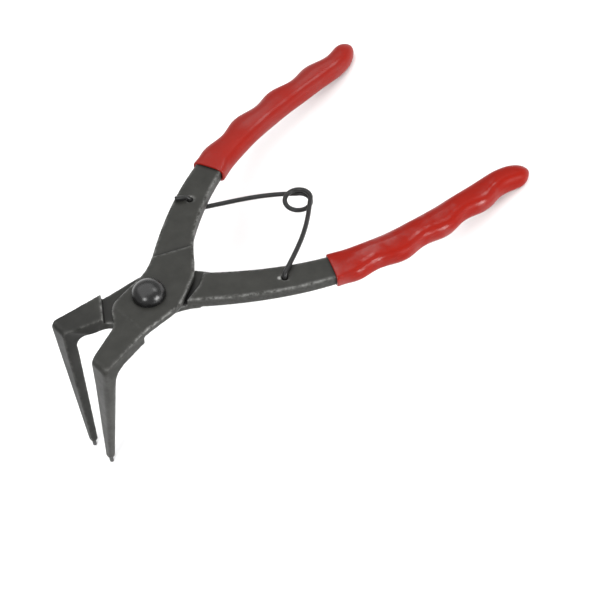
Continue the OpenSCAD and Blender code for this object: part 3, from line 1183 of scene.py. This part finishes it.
@dataclass
class Rivet:
    """The domed pivot rivet with its peened tail; last_angle ends its arcs just off the axis."""

    tool: ToolFrame
    half_joint: float = 3.2
    play: float = 0.05
    shank: float = 4.0
    dome: float = 6.9
    dome_height: float = 6.0
    rim: float = 0.5
    foot_round: float = 0.2
    foot_corner: float = 0.05
    tail: float = 5.5
    tail_height: float = 1.6
    tail_lip: float = 0.3
    last_angle: float = 88.0
    tail_steps: int = 18
    dome_steps: int = 36
    steps: int = 128

    def build(self, material: bpy.types.Material) -> bpy.types.Object:
        """Turn the rivet.

        Args:
            material: Its finish.

        Returns:
            The piece.
        """
        foot = self.half_joint + self.play
        back, soft, corner = -self.half_joint, self.foot_round, self.foot_corner
        profile = [(0.0, back - self.tail_height)]
        profile += arc((0.0, back), (self.tail, self.tail_height), -self.last_angle, 0.0, self.tail_steps)
        profile += [(self.tail - self.tail_lip, back), (self.shank, back), (self.shank, foot)]
        profile += [(self.dome - soft, foot), (self.dome - corner, foot + corner), (self.dome, foot + soft)]
        profile += arc((0.0, foot + self.rim), (self.dome, self.dome_height - self.rim),
                       0.0, self.last_angle, self.dome_steps)
        profile.append((0.0, foot + self.dome_height))
        return turned_piece("domed_rivet", profile, self.tool.point, self.steps, material)


@dataclass
class TipPin:
    """A tip pin with a rounded edge, seated on the end of its leg."""

    side: Side
    tool: ToolFrame
    mount: Mapping[str, Any]
    edge: float = 0.25
    nib: float = 0.88
    nib_length: float = 3.0
    shank: float = 0.65
    shank_length: float = 8.0
    edge_steps: int = 8
    steps: int = 48

    def build(self, material: bpy.types.Material) -> bpy.types.Object:
        """Turn the pin.

        Args:
            material: Its finish.

        Returns:
            The piece.
        """
        middle = self.tool.matrix.inverted() @ Vector(self.mount["pos_m"]) / MM
        end = middle.z - (self.edge + self.nib_length) / 2.0

        def place(u: float, v: float, w: float) -> Vector:
            """Point beside the pin's axis."""
            return self.tool.point(middle.x + u, middle.y + v, end + w)

        step, top = self.nib_length, self.nib_length + self.shank_length
        profile = [(0.0, 0.0)]
        profile += arc((self.nib - self.edge, self.edge), (self.edge, self.edge),
                       -90.0, 0.0, self.edge_steps)
        profile += [(self.nib, step), (self.shank, step), (self.shank, top), (0.0, top)]
        piece = turned_piece(self.side.node("tip_nib"), profile, place, self.steps, material)
        places, _ = mesh_arrays(piece.data)
        rise = (places - np.array(place(0.0, 0.0, 0.0))) @ np.array(self.tool.axis) / MM
        write_attribute(piece.data, WEAR, np.clip(1.0 - rise / (2.0 * self.edge), 0.0, 1.0))
        return piece


@dataclass
class Spring:
    """The wire that opens the handles: a coil, two bowed legs and two folded ends.

    level_share is the share of a leg that stays level before it rises to the coil, and chamfer_share
    the share of the radius that is left at a cut end.
    """

    tool: ToolFrame
    line: HandleLine = field(default_factory=HandleLine)
    wire: float = 1.0
    coil: float = 5.4
    pitch: float = 2.3
    face: float = 3.8
    bend: float = 2.0
    front_stub: float = 6.2
    rear_stub: float = 4.4
    bow: float = 2.0
    level_share: float = 0.2
    hook_overlap: float = 1.5
    chamfer: float = 0.35
    chamfer_share: float = 0.7
    blend_reach: float = 0.45
    wire_sides: int = 28
    leg_steps: int = 60
    coil_steps: int = 130
    bend_steps: int = 14

    def tree(self) -> Tree:
        """Geometry tree of a round wire along a path.

        Returns:
            The tree; it serves the wire and its two hooks.
        """
        tree = Tree("wire_along_path", "GeometryNodeTree")
        path = tree.takes("Path", "NodeSocketGeometry")
        radius = tree.takes("Wire Radius", "NodeSocketFloat")
        finish = tree.takes("Finish", "NodeSocketMaterial")
        ring = tree.add("GeometryNodeCurvePrimitiveCircle", {
            "Resolution": self.wire_sides, "Radius": radius})
        share = tree.add("GeometryNodeInputRadius", {}).outputs[0]
        tube = tree.add("GeometryNodeCurveToMesh", {"Curve": path, "Profile Curve": ring.outputs["Curve"],
                                                    "Scale": share, "Fill Caps": True})
        tree.ends_in("Wire", tube.outputs[0], finish)
        return tree

    def _front_leg(self) -> tuple[np.ndarray, np.ndarray, float, float]:
        """Lay the front leg from its hole to the side of the coil.

        Returns:
            The hole, the leg's direction, its length and its angle in degrees.
        """
        hole = self.line.at(self.line.hole_at)
        to_coil = np.array((self.tool.coil_at, 0.0)) - hole
        reach = float(np.linalg.norm(to_coil))
        angle = math.degrees(math.atan2(to_coil[1], to_coil[0]) + math.asin(self.coil / reach))
        ahead = np.array((math.cos(math.radians(angle)), math.sin(math.radians(angle))))
        return hole, ahead, math.sqrt(reach**2 - self.coil**2), angle

    def _coil_height(self, angle: float) -> float:
        """Height of the coil's wire at an angle in degrees, with its middle at -180."""
        return -self.pitch * (angle + 180.0) / 360.0

    def _beside_leg(self, distance: float, height: float) -> tuple[float, float, float]:
        """Find a point of the bowed front leg.

        Args:
            distance: Distance from the front hole.
            height: Height in the tool's axes.

        Returns:
            The point, in millimetres.
        """
        hole, ahead, length, _ = self._front_leg()
        share = min(1.0, max(0.0, (distance - self.bend) / (length - self.bend)))
        left = np.array((-ahead[1], ahead[0]))
        u, v = hole + distance * ahead + self.bow * math.sin(math.pi * share) * left
        return float(u), float(v), height

    def _half(self) -> list[tuple[float, float, float]]:
        """Lay the front half of the wire.

        Returns:
            Path from the foot of the front leg to the middle of the coil.
        """
        _, _, length, angle = self._front_leg()
        start = angle + 90.0
        path = []
        for k in range(self.leg_steps):
            share = k / self.leg_steps
            rise = min(1.0, max(0.0, (share - self.level_share) / (1.0 - self.level_share)))
            rise = rise * rise * (3.0 - 2.0 * rise)
            height = -self.face + rise * (self._coil_height(start) + self.face)
            path.append(self._beside_leg(self.bend + share * (length - self.bend), height))
        for k in range(self.coil_steps + 1):
            turn = start + (-180.0 - start) * k / self.coil_steps
            across = math.radians(turn)
            path.append((self.tool.coil_at + self.coil * math.cos(across), self.coil * math.sin(across),
                         self._coil_height(turn)))
        return path

    def _hook(self, stub: float) -> list[tuple[float, float, float]]:
        """Lay a folded end of the front leg.

        Args:
            stub: Length of the fold past the hole.

        Returns:
            Path from the foot of the leg, through the hole and along the fold.
        """
        bends = arc((0.0, 0.0), (self.bend, self.bend), 0.0, 90.0, self.bend_steps)
        path = [(self.bend + self.hook_overlap, -self.face)]
        path += [(self.bend - v, self.bend - self.face - u) for u, v in bends]
        path += [(u - self.bend, self.face - self.bend + v) for u, v in bends]
        path += [(self.chamfer - stub, self.face), (-stub, self.face)]
        return [self._beside_leg(distance, height) for distance, height in path]

    def build_wire(self, tree: Tree, material: bpy.types.Material) -> bpy.types.Object:
        """Make the coil with its two legs.

        Args:
            tree: The wire's geometry tree.
            material: Its finish.

        Returns:
            The piece.
        """
        half = self._half()
        path = half + [(u, -v, -w) for u, v, w in reversed(half[:-1])]
        points = [self.tool.point(*place) for place in path]
        curve = curve_through("spring_wire", points)
        return grown(curve, tree, {"Wire Radius": self.wire * MM, "Finish": material})

    def build_hook(self, side: Side, tree: Tree, material: bpy.types.Material) -> bpy.types.Object:
        """Make the folded end in one lever's hole.

        Args:
            side: Lever that it hooks into.
            tree: The wire's geometry tree.
            material: Its finish.

        Returns:
            The piece.
        """
        path = self._hook(self.front_stub if side is Side.FRONT else self.rear_stub)
        sign = side.value
        points = [self.tool.point(u, sign * v, sign * w) for u, v, w in path]
        curve = curve_through(side.node("spring_hook"), points, self.chamfer_share)
        return grown(curve, tree, {"Wire Radius": self.wire * MM, "Finish": material})


# Studio


@dataclass(frozen=True)
class Softbox:
    """A square area light that points at the tool, with its distance and size in metres."""

    name: str
    azimuth: float
    elevation: float
    distance: float
    size: float
    watts: float

    def build(self, target: Vector) -> None:
        """Hang the light.

        Args:
            target: Point that it faces.
        """
        data = bpy.data.lights.new(self.name, "AREA")
        data.shape = "SQUARE"
        data.size = self.size
        data.energy = self.watts
        light = bpy.data.objects.new(self.name, data)
        light.location = target + self.distance * heading(self.azimuth, self.elevation)
        light.rotation_euler = (target - light.location).to_track_quat("-Z", "Y").to_euler()
        bpy.context.scene.collection.objects.link(light)


def heading(azimuth: float, elevation: float) -> Vector:
    """Unit vector at an azimuth from +X and an elevation, in degrees."""
    across, up = math.radians(azimuth), math.radians(elevation)
    return Vector((math.cos(up) * math.cos(across), math.cos(up) * math.sin(across), math.sin(up)))


@dataclass
class Studio:
    """Camera, floor and lights."""

    target: Vector = field(default_factory=lambda: Vector((-2.38, -26.89, 16.46)) * MM)
    azimuth: float = -104.794
    elevation: float = 58.131
    roll: float = 33.191
    distance: float = 723.49
    lens: float = 105.23
    sensor: float = 36.0
    near: float = 10.0
    floor_half: float = 4000.0
    sky: float = 0.6
    softboxes: tuple[Softbox, ...] = (
        Softbox("overhead_panel", azimuth=60.0, elevation=68.0, distance=1.5, size=2.4, watts=28.0),
        Softbox("left_softbox", azimuth=-154.0, elevation=49.0, distance=1.1, size=0.35, watts=5.0),
        Softbox("low_softbox", azimuth=-71.0, elevation=12.0, distance=1.0, size=0.44, watts=9.0),
        Softbox("right_softbox", azimuth=-12.0, elevation=40.0, distance=1.2, size=0.42, watts=2.8),
    )

    def build(self, floor_material: bpy.types.Material) -> None:
        """Set up the studio.

        Args:
            floor_material: Finish of the floor.
        """
        self._camera()
        self._floor(floor_material)
        self._sky()
        for softbox in self.softboxes:
            softbox.build(self.target)

    def _camera(self) -> None:
        """Place the camera at the photograph's angle."""
        data = bpy.data.cameras.new("camera")
        data.lens = self.lens
        data.sensor_fit = "HORIZONTAL"
        data.sensor_width = self.sensor
        data.clip_start = self.near * MM
        camera = bpy.data.objects.new("camera", data)
        back = heading(self.azimuth, self.elevation)
        level = (-back).cross(Vector((0.0, 0.0, 1.0))).normalized()
        turn = math.radians(self.roll)
        up = math.cos(turn) * level.cross(-back) + math.sin(turn) * level
        right = (-back).cross(up)
        axes = Matrix((right, up, back)).transposed().to_4x4()
        camera.matrix_world = Matrix.Translation(self.target + self.distance * MM * back) @ axes
        bpy.context.scene.collection.objects.link(camera)
        bpy.context.scene.camera = camera

    def _floor(self, material: bpy.types.Material) -> None:
        """Lay the floor that the tool stands on.

        Args:
            material: Its finish.
        """
        half = self.floor_half * MM
        corners = [(-half, -half, 0.0), (half, -half, 0.0), (half, half, 0.0), (-half, half, 0.0)]
        mesh = bpy.data.meshes.new("floor")
        mesh.from_pydata(corners, [], [(0, 1, 2, 3)])
        floor = placed("floor", mesh)
        mesh.materials.append(material)

    def _sky(self) -> None:
        """Fill the room with even white light."""
        world = bpy.data.worlds.new("studio")
        world.use_nodes = True
        background = world.node_tree.nodes["Background"]
        background.inputs["Color"].default_value = (1.0, 1.0, 1.0, 1.0)
        background.inputs["Strength"].default_value = self.sky
        bpy.context.scene.world = world
        bpy.context.scene.view_settings.view_transform = "Standard"


def report(piece: bpy.types.Object) -> None:
    """Log a finished piece."""
    LOG.info("%s: %d faces", piece.name, len(piece.data.polygons))


def build_levers(tool: ToolFrame, frame: Mapping[str, Any], effects: Effects) -> None:
    """Make the two levers and their tip pins.

    Args:
        tool: The tool's axes.
        frame: The loaded frame.
        effects: Shared shader groups.
    """
    steel, tip_steel = LEVER_STEEL.material(effects), TIP_STEEL.material(effects)
    mounts = {mount["name"]: mount for mount in frame["record"]["mounts"]}
    for side in Side:
        lever = Lever(side, tool).build(frame["nodes"][side.node("lever")], steel)
        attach(lever, side.half)
        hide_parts(side.node("lever"))
        report(lever)
        pin = TipPin(side, tool, mounts[side.node("tip")]).build(tip_steel)
        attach(pin, side.half)
        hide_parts(side.node("tip_pin"))
        report(pin)


def build_grips(tool: ToolFrame, effects: Effects) -> None:
    """Make the two grips.

    Args:
        tool: The tool's axes.
        effects: Shared shader groups.
    """
    vinyls = {Side.FRONT: FRONT_VINYL.material(effects), Side.REAR: REAR_VINYL.material(effects)}
    tree = Grip(Side.FRONT, tool).tree()
    for side in Side:
        piece = Grip(side, tool).build(tree, vinyls[side])
        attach(piece, side.half)
        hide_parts(side.node("grip"))
        report(piece)


def build_rivet(tool: ToolFrame, effects: Effects) -> None:
    """Make the pivot rivet.

    Args:
        tool: The tool's axes.
        effects: Shared shader groups.
    """
    rivet = Rivet(tool).build(RIVET_STEEL.material(effects))
    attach(rivet, Side.REAR.half)
    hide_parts("pivot_rivet")
    report(rivet)


def build_spring(tool: ToolFrame, effects: Effects) -> None:
    """Make the opening spring.

    Args:
        tool: The tool's axes.
        effects: Shared shader groups.
    """
    spring = Spring(tool)
    steel = SPRING_STEEL.material(effects)
    tree = spring.tree()
    wire = spring.build_wire(tree, steel)
    tool.point(tool.coil_at, 0.0, spring.blend_reach)
    tool.point(tool.coil_at, 0.0, -spring.blend_reach)
    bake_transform(wire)
    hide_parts("spring_front_arm", "spring_rear_arm")
    report(wire)
    for side in Side:
        hook = spring.build_hook(side, tree, steel)
        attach(hook, side.spring)
        report(hook)


def main() -> None:
    """Build the tool and its studio around the frame."""
    logging.basicConfig(level=logging.INFO, format="%(name)s %(message)s")
    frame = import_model()
    tool = ToolFrame.from_record(frame["record"])
    effects = Effects()
    Studio().build(PaleFloor().material(effects))
    build_levers(tool, frame, effects)
    build_grips(tool, effects)
    build_rivet(tool, effects)
    build_spring(tool, effects)


if __name__ == "__main__":
    main()
